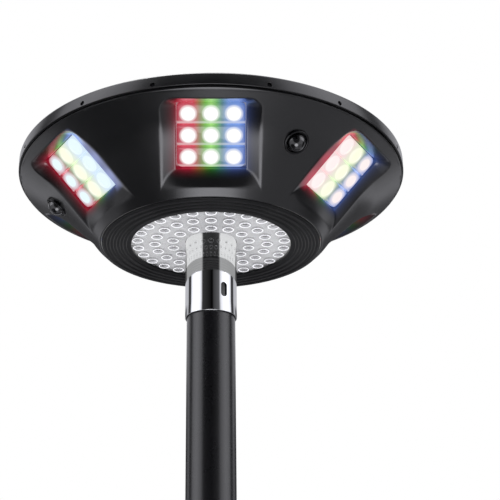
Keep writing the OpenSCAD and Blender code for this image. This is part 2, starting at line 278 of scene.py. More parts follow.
class Nodes:
    """A node tree with helpers that add nodes to it."""

    def __init__(self, tree):
        self.tree = tree

    def node(self, kind, **settings):
        made = self.tree.nodes.new("ShaderNode" + kind)
        for key, value in settings.items():
            if hasattr(made, key):
                setattr(made, key, value)
            else:
                made.inputs[key.replace("_", " ")].default_value = value
        return made

    def link(self, source, target):
        self.tree.links.new(source, target)

    def fill(self, socket, value):
        """Links an output to a socket, or sets the socket's value or opaque colour."""
        if isinstance(value, bpy.types.NodeSocket):
            self.link(value, socket)
        else:
            socket.default_value = (*value, 1) if isinstance(value, tuple) else value

    def math(self, operation, a, b=None):
        made = self.node("Math", operation=operation)
        self.fill(made.inputs[0], a)
        if b is not None:
            self.fill(made.inputs[1], b)
        return made.outputs[0]

    def times(self, a, b):
        return self.math("MULTIPLY", a, b)

    def apart(self, a, b):
        return self.math("ABSOLUTE", self.math("SUBTRACT", a, b))

    def place(self, kind="Object"):
        return self.node("TexCoord").outputs[kind]

    def split(self, vector):
        made = self.node("SeparateXYZ")
        self.link(vector, made.inputs[0])
        return made.outputs

    def ray_is(self, kind):
        return self.node("LightPath").outputs[f"Is {kind} Ray"]

    def noise(self, scale, detail):
        made = self.node("TexNoise", Scale=scale, Detail=detail, Roughness=0.55)
        self.link(self.place(), made.inputs["Vector"])
        return made.outputs["Fac"]

    def ramp(self, factor, stops, interpolation="LINEAR"):
        made = self.node("ValToRGB")
        made.color_ramp.interpolation = interpolation
        elements = made.color_ramp.elements
        while len(elements) < len(stops):
            elements.new(0.5)
        for element, (position, color) in zip(elements, stops):
            element.position = position
            element.color = (*color, 1)
        self.link(factor, made.inputs["Fac"])
        return made.outputs["Color"]

    def mix(self, factor, a, b, kind="RGBA"):
        made = self.node("Mix", data_type=kind)
        for socket, value in (("Factor", factor), ("A", a), ("B", b)):
            self.fill(made.inputs[socket], value)
        return next(o for o in made.outputs if o.type == ("RGBA" if kind == "RGBA" else "VALUE"))

    def mix_shaders(self, factor, a, b):
        made = self.node("MixShader")
        for socket, source in zip(made.inputs, (factor, a, b)):
            self.link(source, socket)
        return made.outputs[0]

    def range(self, value, low, high, to_low, to_high, interpolation="LINEAR"):
        made = self.node("MapRange", interpolation_type=interpolation, From_Min=low,
                         From_Max=high, To_Min=to_low, To_Max=to_high)
        self.link(value, made.inputs["Value"])
        return made.outputs["Result"]


class Shader(Nodes):
    """A Principled material."""

    def __init__(self, name, color, roughness, metallic=0.0, **settings):
        self.material = bpy.data.materials.new(name)
        self.material.use_nodes = True
        super().__init__(self.material.node_tree)
        self.bsdf = self.tree.nodes["Principled BSDF"]
        self.set("Base Color", (*color, 1))
        self.set("Roughness", roughness)
        self.set("Metallic", metallic)
        for key, value in settings.items():
            self.set(key.replace("_", " "), value)

    def set(self, socket, value):
        self.bsdf.inputs[socket].default_value = value

    def drive(self, socket, source):
        self.link(source, self.bsdf.inputs[socket])

    def bump(self, height, strength, distance):
        """Adds a relief on top of the one that is already there."""
        made = self.node("Bump", Strength=strength, Distance=distance)
        self.link(height, made.inputs["Height"])
        previous = self.bsdf.inputs["Normal"].links
        if previous:
            self.link(previous[0].from_socket, made.inputs["Normal"])
        self.drive("Normal", made.outputs["Normal"])

    def vary(self, color_a, color_b, scale, rough_low, rough_high, rough_scale):
        """Slow change of colour and finer change of roughness over the surface."""
        self.drive("Base Color", self.ramp(self.noise(scale, 2), [(0.35, color_a), (0.65, color_b)]))
        self.drive("Roughness", self.range(self.noise(rough_scale, 4), 0.3, 0.7, rough_low, rough_high))


def toned(color, gain):
    return tuple(min(1, c * gain) for c in color)


def painted_studio_in_chrome(s, share, gain):
    """Painted reflection: in mirror rays a share of the surface's own look is hidden, and a glow is painted
    on it that shows polished metal the same studio as above it, bright at both sides of the lamp, dark in
    front and behind. Share is how much of the surface's own look that hides."""
    front_level, back_level = 0.03, 0.15
    x, y, _ = s.split(s.place())
    turn = s.math("ABSOLUTE", s.math("ARCTAN2", x, s.math("SUBTRACT", -neck_r / 2, y)))
    past_front = s.range(turn, 0.60, 0.74, front_level, 1.0)
    before_back = s.range(turn, 2.2, 2.4, 1.0, back_level)
    hidden = s.times(s.ray_is("Glossy"), share)
    color = s.bsdf.inputs["Base Color"].links[0].from_socket
    s.drive("Base Color", s.mix(hidden, color, (0.0, 0.0, 0.0)))
    own = s.bsdf.inputs["Emission Strength"].default_value
    # Painted glow, seen only in mirror rays, at both sides of the lamp
    sides = s.times(past_front, before_back)
    seen = s.times(s.times(sides, gain), hidden)
    kept = s.times(s.math("SUBTRACT", 1.0, hidden), own)
    if not own:
        s.set("Emission Color", (1.0, 1.0, 1.0, 1.0))
    s.drive("Emission Strength", s.math("ADD", seen, kept))


def moulded_plastic(name, color, rough, coat=0.0, spec=0.5, lit=False, chrome_painted_gain=0.0):
    """Injection-moulded plastic with a fine spark-eroded grain. A lit one glows with painted light where
    its mesh's colour says so; one with a chrome gain shows polished metal a painted reflection of the
    studio."""
    s = Shader(name, color, rough, Coat_Weight=coat, Coat_Roughness=0.2, Specular_IOR_Level=spec)
    s.vary(color, toned(color, 1.3), 9, rough * 0.92, rough * 1.08, 60)
    s.bump(s.noise(1400, 2), 0.15, 0.04 * MM)
    s.bump(s.noise(25, 2), 0.05, 0.3 * MM)
    if chrome_painted_gain:
        painted_studio_in_chrome(s, 1.0, chrome_painted_gain)
    # Painted light: an emission from the mesh's colour where the side lights light the pocket walls
    if lit:
        s.drive("Emission Color", s.node("VertexColor", layer_name="painted_spill").outputs["Color"])
        s.set("Emission Strength", 1.0)
    return s.material


def powder_coat(name, color, rough, coat=0.3, coat_rough=0.22, peel=0.12):
    """Sprayed and baked paint on steel, with its slight orange peel."""
    s = Shader(name, color, rough, Coat_Weight=coat, Coat_Roughness=coat_rough)
    s.vary(color, toned(color, 1.3), 6, rough * 0.9, rough * 1.1, 45)
    s.bump(s.noise(420, 2), peel, 0.12 * MM)
    return s.material


def plated_steel(name, color, rough):
    """Steel with a thin, finely mottled plating."""
    s = Shader(name, color, rough, metallic=1.0)
    s.vary(color, toned(color, 1.1), 120, rough * 0.8, rough * 1.25, 300)
    s.bump(s.noise(900, 3), 0.1, 0.05 * MM)
    return s.material


def chrome_plate(name):
    """Polished chrome with a faint unevenness from polishing."""
    s = Shader(name, (0.86, 0.87, 0.88), 0.04, metallic=1.0)
    s.vary((0.85, 0.86, 0.87), (0.88, 0.89, 0.90), 30, 0.03, 0.07, 90)
    s.bump(s.noise(35, 2), 0.03, 0.2 * MM)
    return s.material


# Colours across a side light's face, from its red edge over green to its blue edge
FACE_TINTS = [
    (0.00, (0.36, 0.020, 0.035)), (0.10, (0.56, 0.060, 0.090)), (0.25, (0.52, 0.055, 0.080)),
    (0.34, (0.20, 0.18, 0.055)), (0.42, (0.16, 0.42, 0.070)), (0.50, (0.30, 0.62, 0.160)),
    (0.58, (0.15, 0.40, 0.110)), (0.66, (0.075, 0.19, 0.210)), (0.75, (0.14, 0.26, 0.580)),
    (0.90, (0.16, 0.28, 0.660)), (1.00, (0.07, 0.13, 0.400))]


def face_glare(s, across, away, core, lip, side):
    """Widens the LEDs' white towards one edge of the face: returns its core, painted lip highlight and
    tint.
    Away is the distance from the LED's middle."""
    edge_at = 1.0 if side > 0 else 0.0
    edge_tint = (0.80, 0.95, 1.0) if side > 0 else (1.0, 0.88, 0.86)
    middle_tint = (0.98, 1.0, 0.76)
    flood = s.range(s.apart(across, edge_at), 0.50, 0.72, 1.0, 0.0)
    wide = s.range(s.math("SUBTRACT", away, s.times(flood, 0.14)), 0.24, 0.56, 1.0, 0.0)
    middle = s.range(s.apart(across, 0.5), 0.05, 0.25, 1.0, 0.0)
    hot = s.mix(middle, edge_tint, middle_tint)
    return s.math("MAXIMUM", core, wide), s.math("MAXIMUM", lip, s.times(flood, 0.78)), hot


def side_light_face(name, glare=0):
    """Lens bars lit from inside: a red, a green and a blue column of LEDs, each LED white-hot.
    Glare washes the colours out towards the blue edge (1) or the red edge (-1) of the face."""
    white_in_mirrors, gain_in_mirrors = 0.1, 2.2
    s = Shader(name, (0.05, 0.05, 0.06), 0.16, Coat_Weight=0.5, Coat_Roughness=0.06)
    across, up, _ = s.split(s.place("UV"))
    cell_up = s.math("FRACT", s.times(up, 3))
    dx = s.math("SUBTRACT", s.math("FRACT", s.times(across, 3)), 0.5)
    dy = s.math("SUBTRACT", cell_up, 0.51)
    away = s.math("SQRT", s.math("ADD", s.times(dx, dx), s.times(dy, dy)))
    core = s.range(away, 0.28, 0.42, 1.0, 0.0)
    # Painted highlight: the lip is a white band along the lower bevel of each bar
    lip = s.times(s.range(cell_up, 0.04, 0.09, 0.0, 1.0), s.range(cell_up, 0.13, 0.2, 0.32, 0.0))
    hot = (1.0, 1.0, 0.98)
    if glare:
        core, lip, hot = face_glare(s, across, away, core, lip, glare)
    glossy = s.ray_is("Glossy")
    white = s.times(s.math("MAXIMUM", core, lip), s.range(glossy, 0, 1, 1.0, white_in_mirrors))
    s.drive("Emission Color", s.mix(white, s.ramp(across, FACE_TINTS), hot))
    s.drive("Emission Strength", s.range(glossy, 0, 1, 1.0, gain_in_mirrors))
    s.bump(s.noise(500, 2), 0.05, 0.1 * MM)
    return s.material


def solar_glass(name):
    """Dark cells under glass, with their thin silver fingers and wider ribbons."""
    cell_width, cell_length, gap = 52.5 * MM, 105 * MM, 1.4 * MM
    finger_pitch, finger, ribbon = 3.5 * MM, 0.5 * MM, 1.3 * MM
    s = Shader(name, (0.01, 0.015, 0.04), 0.25, Coat_Weight=1.0, Coat_Roughness=0.03)
    x, y, _ = s.split(s.place())

    def stripe(value, pitch, width):
        share = s.math("FRACT", s.math("DIVIDE", value, pitch))
        return s.math("GREATER_THAN", s.apart(share, 0.5), 0.5 - width / pitch / 2)

    gaps = s.math("MAXIMUM", stripe(x, cell_width, gap), stripe(y, cell_length, gap))
    fingers = s.times(stripe(y, finger_pitch, finger), 0.16)
    ribbons = stripe(s.math("ADD", x, cell_width / 2), cell_width, ribbon)
    cell = s.ramp(s.noise(14, 2), [(0.3, (0.006, 0.010, 0.030)), (0.7, (0.012, 0.018, 0.055))])
    color = s.mix(fingers, cell, (0.30, 0.32, 0.36))
    color = s.mix(ribbons, color, (0.42, 0.43, 0.45))
    s.drive("Base Color", s.mix(gaps, color, (0.012, 0.012, 0.014)))
    s.bump(s.noise(60, 2), 0.03, 0.2 * MM)
    return s.material


# Level of the painted glow that polished metal sees on the downlight's parts at both sides of the lamp
DOWNLIGHT_PAINTED_IN_CHROME = 0.75


def clear_plastic(name, color, alpha, glow=0.0, hidden=1.0):
    """Clear or milky moulding. Alpha is how much of the surface hides what is under it. A glow paints
    light on it as if the LEDs under it lit it, and polished metal sees a painted reflection of the studio
    on it.
    """
    s = Shader(name, color, 0.12, Alpha=alpha)
    s.vary(toned(color, 0.97), toned(color, 1.03), 40, 0.08, 0.16, 80)
    s.bump(s.noise(300, 2), 0.05, 0.1 * MM)
    if glow:
        s.set("Emission Color", (*color, 1))
        s.set("Emission Strength", glow)
    painted_studio_in_chrome(s, hidden, DOWNLIGHT_PAINTED_IN_CHROME)
    return s.material


def circuit_board(name):
    """White solder mask, with a painted reflection of the studio for polished metal."""
    s = Shader(name, (0.88, 0.88, 0.87), 0.45)
    s.vary((0.86, 0.86, 0.85), (0.91, 0.91, 0.90), 25, 0.4, 0.5, 70)
    s.bump(s.noise(700, 2), 0.1, 0.03 * MM)
    painted_studio_in_chrome(s, 1.0, DOWNLIGHT_PAINTED_IN_CHROME)
    return s.material


def sensor_lens(name):
    """Deep black, glossy moulding."""
    s = Shader(name, (0.002, 0.002, 0.0025), 0.05, Specular_IOR_Level=0.9, Coat_Weight=1.0)
    s.vary((0.0015, 0.0015, 0.002), (0.003, 0.003, 0.004), 60, 0.04, 0.07, 200)
    s.bump(s.noise(900, 2), 0.06, 0.03 * MM)
    return s.material


SHELL_BLACK = (0.0035, 0.0036, 0.0042)

# Keyed without the number that Blender adds where a CAD material already has the name
MAT = {material.name.split(".")[0]: material for material in (
    powder_coat("base_paint", (0.035, 0.036, 0.039), 0.42),
    powder_coat("pole_paint", (0.006, 0.006, 0.007), 0.28, 0.8, 0.21, 0.03),
    powder_coat("socket_steel", (0.04, 0.04, 0.044), 0.5),
    moulded_plastic("cap_plastic", (0.008, 0.008, 0.009), 0.5),
    moulded_plastic("shell_plastic", SHELL_BLACK, 0.30, 1.0),
    moulded_plastic("shell_painted_spill", SHELL_BLACK, 0.30, 1.0, lit=True),
    # The ring's look in polished metal is a painted reflection of the studio
    moulded_plastic("ring_plastic", (0.005, 0.005, 0.0055), 0.40, spec=0.35, chrome_painted_gain=0.35),
    moulded_plastic("sensor_ring", (0.002, 0.002, 0.0025), 0.14, spec=0.45),
    moulded_plastic("led_chip", (0.55, 0.54, 0.50), 0.35),
    moulded_plastic("led_cup", (0.03, 0.03, 0.032), 0.35),
    plated_steel("bolt_steel", (0.06, 0.06, 0.065), 0.35),
    plated_steel("cap_screw_steel", (0.62, 0.63, 0.64), 0.28),
    plated_steel("screw_black", (0.02, 0.02, 0.022), 0.35),
    chrome_plate("neck_chrome"),
    side_light_face("light_lens"),
    side_light_face("light_lens_right", -1),
    side_light_face("light_lens_left", 1),
    solar_glass("panel_glass"),
    clear_plastic("lens_clear", (0.90, 0.90, 0.91), 0.16),
    clear_plastic("lens_dome", (0.62, 0.62, 0.64), 0.32),
    # The collars glow with painted light, as if the LEDs under them lit them
    clear_plastic("lens_collar", (0.96, 0.96, 0.97), 1.0, 0.42, 0.93),
    circuit_board("board_white"),
    sensor_lens("sensor_dome"),
)}


# ---- Head shell ----

def smooth_min(a, b, k):
    h = np.clip(0.5 + 0.5 * (b - a) / k, 0, 1)
    return b + (a - b) * h - k * h * (1 - h)


def smooth_max(a, b, k):
    return -smooth_min(-a, -b, k)


def base_height(r):
    """Height of the housing's outer face without its pockets: a steep cone, then a shallow flare."""
    cone = foot_z + (r - foot_r) * (crease_z - foot_z) / (crease_r - foot_r)
    flare = crease_z + (r - crease_r) * (shoulder_z - crease_z) / (shoulder_r - crease_r)
    return smooth_min(cone, flare, 5 * MM)


def lens_plane():
    """Middle of a side light's face in the sector that faces front, as (distance out, height), with
    the unit vectors that point up the face and out of it."""
    c, s = cos(light_tilt), sin(light_tilt)
    return (light_r, rim_z - light_drop), (c, s), (s, -c)


def skin_above_lens(x, up):
    """Height of the unpocketed skin above the lens plane, at a point of that plane."""
    (mid_q, mid_z), (uq, uz), (oq, oz) = lens_plane()
    height = np.zeros(np.broadcast(x, up).shape)
    for _ in range(12):
        q, z = mid_q + up * uq + height * oq, mid_z + up * uz + height * oz
        height = height + (z - base_height(np.hypot(x, q))) / 1.3
    return height


def low_rim(x):
    """Place up the lens plane of the pocket's lower rim, which is slightly arched."""
    return -pocket_low - pocket_arch * (x / pocket_side) ** 2


def carve(x, q, z):
    """Moves points of the skin into the pocket of the sector that faces front. q is the distance
    outwards from the pole's axis. Each wall runs straight from the lens's edge to the pocket's rim."""
    (mid_q, mid_z), (uq, uz), (oq, oz) = lens_plane()
    dq, dz = q - mid_q, z - mid_z
    up, out = dq * uq + dz * uz, dq * oq + dz * oz
    side = np.abs(x)
    corner_x, corner_up = pocket_side - pocket_corner, pocket_high - pocket_corner
    beyond_x, beyond_up = np.maximum(side - corner_x, 0), np.maximum(up - corner_up, 0)
    beyond = np.hypot(beyond_x, beyond_up)
    safe = np.maximum(beyond, 1e-9)
    to_rim = beyond - pocket_corner + np.minimum(np.maximum(side - corner_x, up - corner_up), 0)
    from_foot = np.hypot(np.maximum(side - pocket_half + foot_corner, 0),
                         np.maximum(up - pocket_half + foot_corner, 0)) - foot_corner
    rim_x = np.minimum(side, corner_x) + pocket_corner * beyond_x / safe
    rim_up = np.minimum(up, corner_up) + pocket_corner * beyond_up / safe

    def wall(share, rim_height):
        return wall_foot + share * (rim_height - wall_foot)

    upper = wall(from_foot / (from_foot - to_rim), skin_above_lens(rim_x, rim_up))
    low = wall((-up - pocket_half) / (-low_rim(x) - pocket_half), skin_above_lens(x, low_rim(x)))
    pocket = smooth_max(upper, low, 0.7 * MM)
    under_light = np.maximum(side, np.abs(up)) < pocket_half - 0.1 * MM
    pocket = np.where(under_light, -light_t, pocket)
    depth = out - smooth_min(out, pocket, 1.0 * MM)
    return x, q - depth * oq, z - depth * oz


# Painted light on a pocket's walls beside the red (-1), green (0) and blue (1) column of the face
PAINTED_SPILL_TINTS = {-1: (0.42, 0.005, 0.03), 0: (0.02, 0.17, 0.01), 1: (0.05, 0.09, 0.30)}
# One wall of the lights left and right of the front gets more painted light: the red (-1) or the blue (1)
# one
PAINTED_NEAR_WALL_TINTS = {-1: (0.36, 0.008, 0.035), 1: (0.22, 0.26, 0.50)}
NEAR_WALLS = [0, -1, 0, 0, 0, 1]


def painted_spill(x, q, z, near):
    """Colour of the light that the lens throws on the walls close around it, painted on as a glow. Near is
    the edge of the face whose wall gets more painted light, or 0."""
    reach, column_reach, near_reach = 4.5 * MM, 18 * MM, 18 * MM
    (mid_q, mid_z), (uq, uz), _ = lens_plane()
    up = (q - mid_q) * uq + (z - mid_z) * uz
    half = light_size / 2
    past_x, past_up = np.maximum(np.abs(x) - half, 0), np.maximum(np.abs(up) - half, 0)
    strength = np.clip(np.exp(-np.hypot(past_x, past_up * 1.5) / reach) - 0.02, 0, 1)
    color = np.zeros((len(x), 4), np.float32)
    for column, tint in PAINTED_SPILL_TINTS.items():
        from_column = np.abs(np.clip(x, -half, half) - column * led_pitch)
        share = np.clip(1.25 - from_column / column_reach, 0, 1)
        color[:, :3] += np.outer(share * strength, tint)
    if near:
        share = np.clip((near_reach - past_x) / (6 * MM), 0, 1) * np.clip(1 - past_up / (8 * MM), 0, 1)
        patches = 0.82 + 0.18 * np.cos(2 * pi * up / led_pitch)
        color[:, :3] += np.outer(np.where(near * x > half, share * patches, 0), PAINTED_NEAR_WALL_TINTS[near])
    color[:, 3] = 1
    return color


def skin_distance(x, up):
    """Distance outwards of the skin's points that lie at the given places up the lens plane."""
    (mid_q, mid_z), (uq, uz), _ = lens_plane()
    q = np.arange(118, 236, 0.25) * MM
    found = []
    for side, place in zip(x, up):
        places = (q - mid_q) * uq + (base_height(np.hypot(side, q)) - mid_z) * uz
        found.append(np.interp(place, places, q))
    return np.array(found)


def eased(count, power=1.6):
    """Shares from 0 to 1 that lie closer together towards both ends."""
    t = np.linspace(-1, 1, count + 1)
    return (1 - (1 - np.abs(t)) ** power) * np.sign(t) / 2 + 0.5


def closer(count, power=2.0):
    """Shares from 0 to 1 that lie closer together towards 0."""
    return np.linspace(0, 1, count + 1) ** power


def sector_lines():
    """Rows of points over the front sixth of the skin, from foot to brim, as arrays of x and of the
    distance outwards. They follow the pocket's outline and crowd at its walls' bends."""
    past_pocket = 63 * MM
    step_in = 0.3 * MM
    inner_x = np.unique(np.concatenate([
        np.linspace(0, pocket_half - step_in, 9),
        pocket_half + (pocket_side - pocket_half) * eased(18),
        pocket_side + (past_pocket - pocket_side) * closer(9)]))
    ones = np.ones_like(inner_x)
    lowest = low_rim(inner_x)
    foot_q, brim_q = np.sqrt(foot_r ** 2 - inner_x ** 2), np.sqrt(shoulder_r ** 2 - inner_x ** 2)
    low_q, high_q = skin_distance(inner_x, lowest), skin_distance(inner_x, pocket_high * ones)
    on_lens = np.linspace(-pocket_half + step_in, pocket_half - step_in, 40)
    on_upper_wall = pocket_half + (pocket_high - pocket_half) * eased(14)
    lines = [foot_q + (low_q - foot_q) * t for t in 1 - closer(7)[::-1]]
    lines += [skin_distance(inner_x, lowest * (1 - t) - pocket_half * t) for t in eased(16)]
    lines += [skin_distance(inner_x, up * ones) for up in (*on_lens, *on_upper_wall)]
    lines += [high_q + (brim_q - high_q) * t for t in closer(8)[1:]]
    for line in lines:
        edge_angle, edge_r = atan2(inner_x[-1], line[-1]), hypot(inner_x[-1], line[-1])
        angle = edge_angle + (radians(SECTOR / 2) - edge_angle) * np.linspace(0, 1, 14)[1:]
        x = np.r_[inner_x, edge_r * np.sin(angle)]
        q = np.r_[line, edge_r * np.cos(angle)]
        yield np.r_[-x[:0:-1], x], np.r_[q[:0:-1], q]


def sector_rows():
    """Rows of the housing's front sixth, as arrays of x, distance outwards and height: the foot's
    inner edge, the skin with its pocket, and the brim with the lip behind the rim band."""
    foot_inner_r, foot_rise = 131.7 * MM, 2 * MM
    lip_r = rim_r - 3.4 * MM
    skin = [carve(x, q, base_height(np.hypot(x, q))) for x, q in sector_lines()]
    around = np.arctan2(skin[0][0], skin[0][1])

    def ring(r, z):
        return r * np.sin(around), r * np.cos(around), np.full_like(around, z)

    foot = rounded([(foot_inner_r, foot_z + 5 * MM), (foot_inner_r, foot_z), (foot_r, foot_z),
                    (foot_r + foot_rise, foot_z + foot_rise)], 0.9)[:-1]
    brim = rounded([(shoulder_r - 3 * MM, shoulder_z - 2 * MM), (shoulder_r, shoulder_z),
                    (lip_r, shoulder_z + 0.1 * MM), (lip_r, lip_top - 1 * MM)], 0.4)[1:]
    return [ring(*p) for p in foot] + skin[1:-1] + [ring(*p) for p in brim]


def housing_mesh():
    """The six sectors joined into one shell, which carries the painted light of its pockets' lenses as a
    colour.
    """
    rows = sector_rows()
    verts, faces, glow = [], [], []
    for x, q, z in rows:
        for k in range(LIGHT_COUNT):
            turn = radians(SECTOR * k)
            c, s = cos(turn), sin(turn)
            verts += list(zip(x * c + q * s, x * s - q * c, z))[:-1]
            glow += list(painted_spill(x, q, z, NEAR_WALLS[k]))[:-1]
    count = LIGHT_COUNT * (len(rows[0][0]) - 1)
    for j in range(len(rows) - 1):
        for i in range(count):
            n = (i + 1) % count
            faces.append((j * count + i, j * count + n, (j + 1) * count + n, (j + 1) * count + i))
    mesh = mesh_from("housing", verts, faces)
    mesh.color_attributes.new("painted_spill", "FLOAT_COLOR", "POINT").data.foreach_set("color", np.ravel(glow))
    return mesh


add_piece("housing_shell", housing_mesh(), "shell_painted_spill", "lower_housing", 60)


def rim_cutters():
    """Countersunk holes of the screws in the rim band."""
    profile = mm((0, -6), (2.5, -6), (2.5, -0.5), (3.1, 0.4), (0, 0.4))
    bm = bmesh.new()
    for direction in RIM_SCREW_DIRECTIONS:
        lathe_bmesh(bm, profile, 24, frame_at(direction, rim_r, rim_screw_z), closed=False)
    return from_bmesh("rim_cutters", bm)


def cover():
    """Upright rim band, sloping bezel and the seat of the solar panel."""
    edge_r = panel_r + 2 * MM
    seat_r, ledge_r = panel_r + 0.25 * MM, panel_r - 10 * MM
    under = panel_low - 3 * MM
    inside = rim_r - 3 * MM
    profile = [
        (inside, band_low), (rim_r, band_low), (rim_r, band_low + 14 * MM), (edge_r, panel_top),
        (seat_r, panel_top), (seat_r, panel_low), (ledge_r, panel_low),
        (ledge_r, under), (edge_r + 3 * MM, under), (inside, lip_top)]
    radii = [0.4, 0.8, 2.5, 0.8, 0.2, 0, 0, 0, 0, 0]
    mesh = lathe("cover", rounded(profile, radii, 5, closed=True), 240)
    piece = add_piece("rim_and_bezel", mesh, "shell_plastic", "top_cover", smooth=30)
    cut_away(piece, rim_cutters())
    piece.data.set_sharp_from_angle(angle=radians(35))


cover()


def solar_panel():
    """Glass disc with a narrow bevel, a little below the bezel's edge."""
    face, bevel_low = panel_top - 0.3 * MM, panel_top - 0.7 * MM
    profile = [(0, panel_low), (panel_r, panel_low), (panel_r, bevel_low), (panel_r - 0.7 * MM, face),
               (0, face)]
    mesh = lathe("panel", profile, 180, closed=False)
    add_piece("solar_panel_glass", mesh, "panel_glass", "solar_panel", smooth=30)


solar_panel()


def cross_head_screw(bm, matrix, radius, height):
    """Pan head with a cross on it. Local Z points out of the surface it sits on."""
    profile = rounded([(0, 0), (radius, 0), (radius, height), (0, height)], [0, 0, height * 0.7 / MM, 0], 5)
    lathe_bmesh(bm, profile, 24, matrix, closed=False)
    for turn in (0, pi / 2):
        local = matrix @ Matrix.Rotation(turn, 4, "Z") @ Matrix.Translation((0, 0, height))
        bar = Matrix.Diagonal((radius * 1.1, radius * 0.24, 0.02 * MM, 1))
        bmesh.ops.create_cube(bm, size=1, matrix=local @ bar)


def screws(name, material, node, places, radius, height):
    """Screw heads of one kind as one piece."""
    bm = bmesh.new()
    for place in places:
        cross_head_screw(bm, place, radius, height)
    add_piece(name, from_bmesh(name, bm), material, node, smooth=30)


screws("rim_screw_heads", "screw_black", "rim_screws",
       [frame_at(direction, rim_r - 3.2 * MM, rim_screw_z) for direction in RIM_SCREW_DIRECTIONS],
       2.3 * MM, 1.6 * MM)


# ---- Ribbed ring and downlight ----

def ribbed_ring():
    """Ring round the downlight, with concentric ribs under it."""
    window, ribs, rib_half, flank = 96 * MM, 4, 1.75 * MM, 0.5 * MM
    face = ring_z + 1.2 * MM
    seat, seat_r = face + 2.6 * MM, window + 6.3 * MM
    pitch = (ring_r - window) / (ribs + 0.5)
    points, radii = [(window, seat), (window, face)], [0, 0.5]
    for k in range(1, ribs + 1):
        low, high = window + k * pitch - rib_half, window + k * pitch + rib_half
        points += [(low - flank, face), (low, ring_z), (high, ring_z), (high + flank, face)]
        radii += [0.5, 0.7, 0.7, 0.5]
    points += [(ring_r, face), (ring_r, ring_top)]
    radii += [1.2, 0]
    profile = rounded(points, radii, 4) + [(seat_r, ring_top), (seat_r, seat)]
    add_piece("ribbed_ring", lathe("ribbed_ring", profile), "ring_plastic", "bottom_ring", smooth=50)


ribbed_ring()

# Number and radius of the downlight's rings of LEDs
LED_RINGS = [(26, 88.6 * MM), (20, 67.6 * MM), (14, 46.6 * MM)]


def led_places():
    for count, radius in LED_RINGS:
        for k in range(count):
            angle = 2 * pi * k / count - pi / 2
            yield Vector((radius * cos(angle), radius * sin(angle), 0))


def at_leds(name, profile, height, material, segments=28, smooth=40):
    """One piece with a copy of a turned shape at each LED of the downlight."""
    bm = bmesh.new()
    for place in led_places():
        at = Matrix.Translation(place + Vector((0, 0, height)))
        lathe_bmesh(bm, profile, segments, at, closed=False)
    add_piece(name, from_bmesh(name, bm), material, smooth=smooth)


def downlight_cover():
    """Clear plate, and under each LED a low dimpled dome with a collar round it."""
    face = lens_top - 0.3 * MM
    tip = -2.3
    profile = [(plate_hole_r, face), (plate_r, face), (plate_r, lens_top), (plate_hole_r, lens_top)]
    add_piece("downlight_plate", lathe("downlight_plate", profile, 160), "lens_clear", "downlight_lens")
    collar = rounded(mm((6.9, tip + 0.4), (6.7, tip), (5.8, tip), (5.6, tip + 0.5)),
                     [0, 0.25, 0.25, 0], 4)
    at_leds("downlight_collars", collar, face, "lens_collar", smooth=50)
    dome = rounded(
        mm((7.2, 0.05), (6.65, tip + 0.25), (5.85, tip + 0.35), (4.6, -1), (2.6, -0.7), (2.2, -1.2),
           (0, -1.2)), [0, 0.1, 0.2, 0.8, 0.3, 0.3, 0], 4)
    at_leds("downlight_domes", dome, face, "lens_dome", smooth=50)


def downlight_board():
    """White board with a cup and a chip for each LED."""
    low = board_top - 1.6 * MM
    edge = plate_r - 1 * MM
    profile = [(plate_hole_r, low), (edge, low), (edge, board_top), (plate_hole_r, board_top)]
    add_piece("downlight_leds", lathe("downlight_board", profile, 160), "board_white", "downlight_board")
    cup = rounded(mm((1.5, -0.1), (1.7, -0.5), (2.9, -0.5), (3.0, 0.05)), 0.12, 3)
    at_leds("downlight_cups", cup, low, "led_cup", 24)
    chip = rounded(mm((0, -0.3), (1.4, -0.3), (1.55, 0.05)), 0.1, 3)
    at_leds("downlight_chips", chip, low, "led_chip", 24)


downlight_cover()
downlight_board()


# ---- Side lights ----

def lens_bar(bm, local, row):
    """Bar with the lenses of three LEDs, in the lowest (-1), middle (0) or highest (1) row."""
    seam, outer_corner, inner_corner = 0.8 * MM, 6, 0.8
    half, half_height = light_size / 2, (led_pitch - seam) / 2
    lower_r = outer_corner if row == -1 else inner_corner
    upper_r = outer_corner if row == 1 else inner_corner
    outline = rounded(
        [(-half, -half_height), (half, -half_height), (half, half_height), (-half, half_height)],
        [lower_r, lower_r, upper_r, upper_r], 6, closed=True)
    bevel = [(0, 0), (light_t - 1.6 * MM, 0), (light_t - 0.5 * MM, 0.7 * MM), (light_t, 1.8 * MM)]
    prism_bmesh(bm, outline, bevel, local @ Matrix.Translation((0, row * led_pitch, 0)))
    dome = rounded(mm((9.2, 0), (7.0, 0.8), (0, 1.3)), 4, 4)
    for column in (-1, 0, 1):
        place = Matrix.Translation((column * led_pitch, row * led_pitch, light_t - 0.05 * MM))
        lathe_bmesh(bm, dome, 28, local @ place, closed=False)


def side_light(k):
    """Three lens bars one above the other, with coordinates from 0 to 1 over the whole face."""
    bm = bmesh.new()
    for row in (-1, 0, 1):
        lens_bar(bm, Matrix.Translation((0, 0, -light_t)), row)
    uv = bm.loops.layers.uv.new("face")
    for face in bm.faces:
        for loop in face.loops:
            at = loop.vert.co
            loop[uv].uv = (at.x / light_size + 0.5, at.y / light_size + 0.5)
    place = frame_at(SECTOR * k, light_r, rim_z - light_drop, light_tilt)
    bmesh.ops.transform(bm, matrix=place, verts=bm.verts)
    return from_bmesh(f"side_light_{k + 1}", bm)


for k, side in enumerate(["", "_right", "_right", "", "_left", "_left"]):
    add_piece(f"side_light_lens_{k + 1}", side_light(k), "light_lens" + side, f"side_light_{k + 1}")


# ---- Motion sensors ----

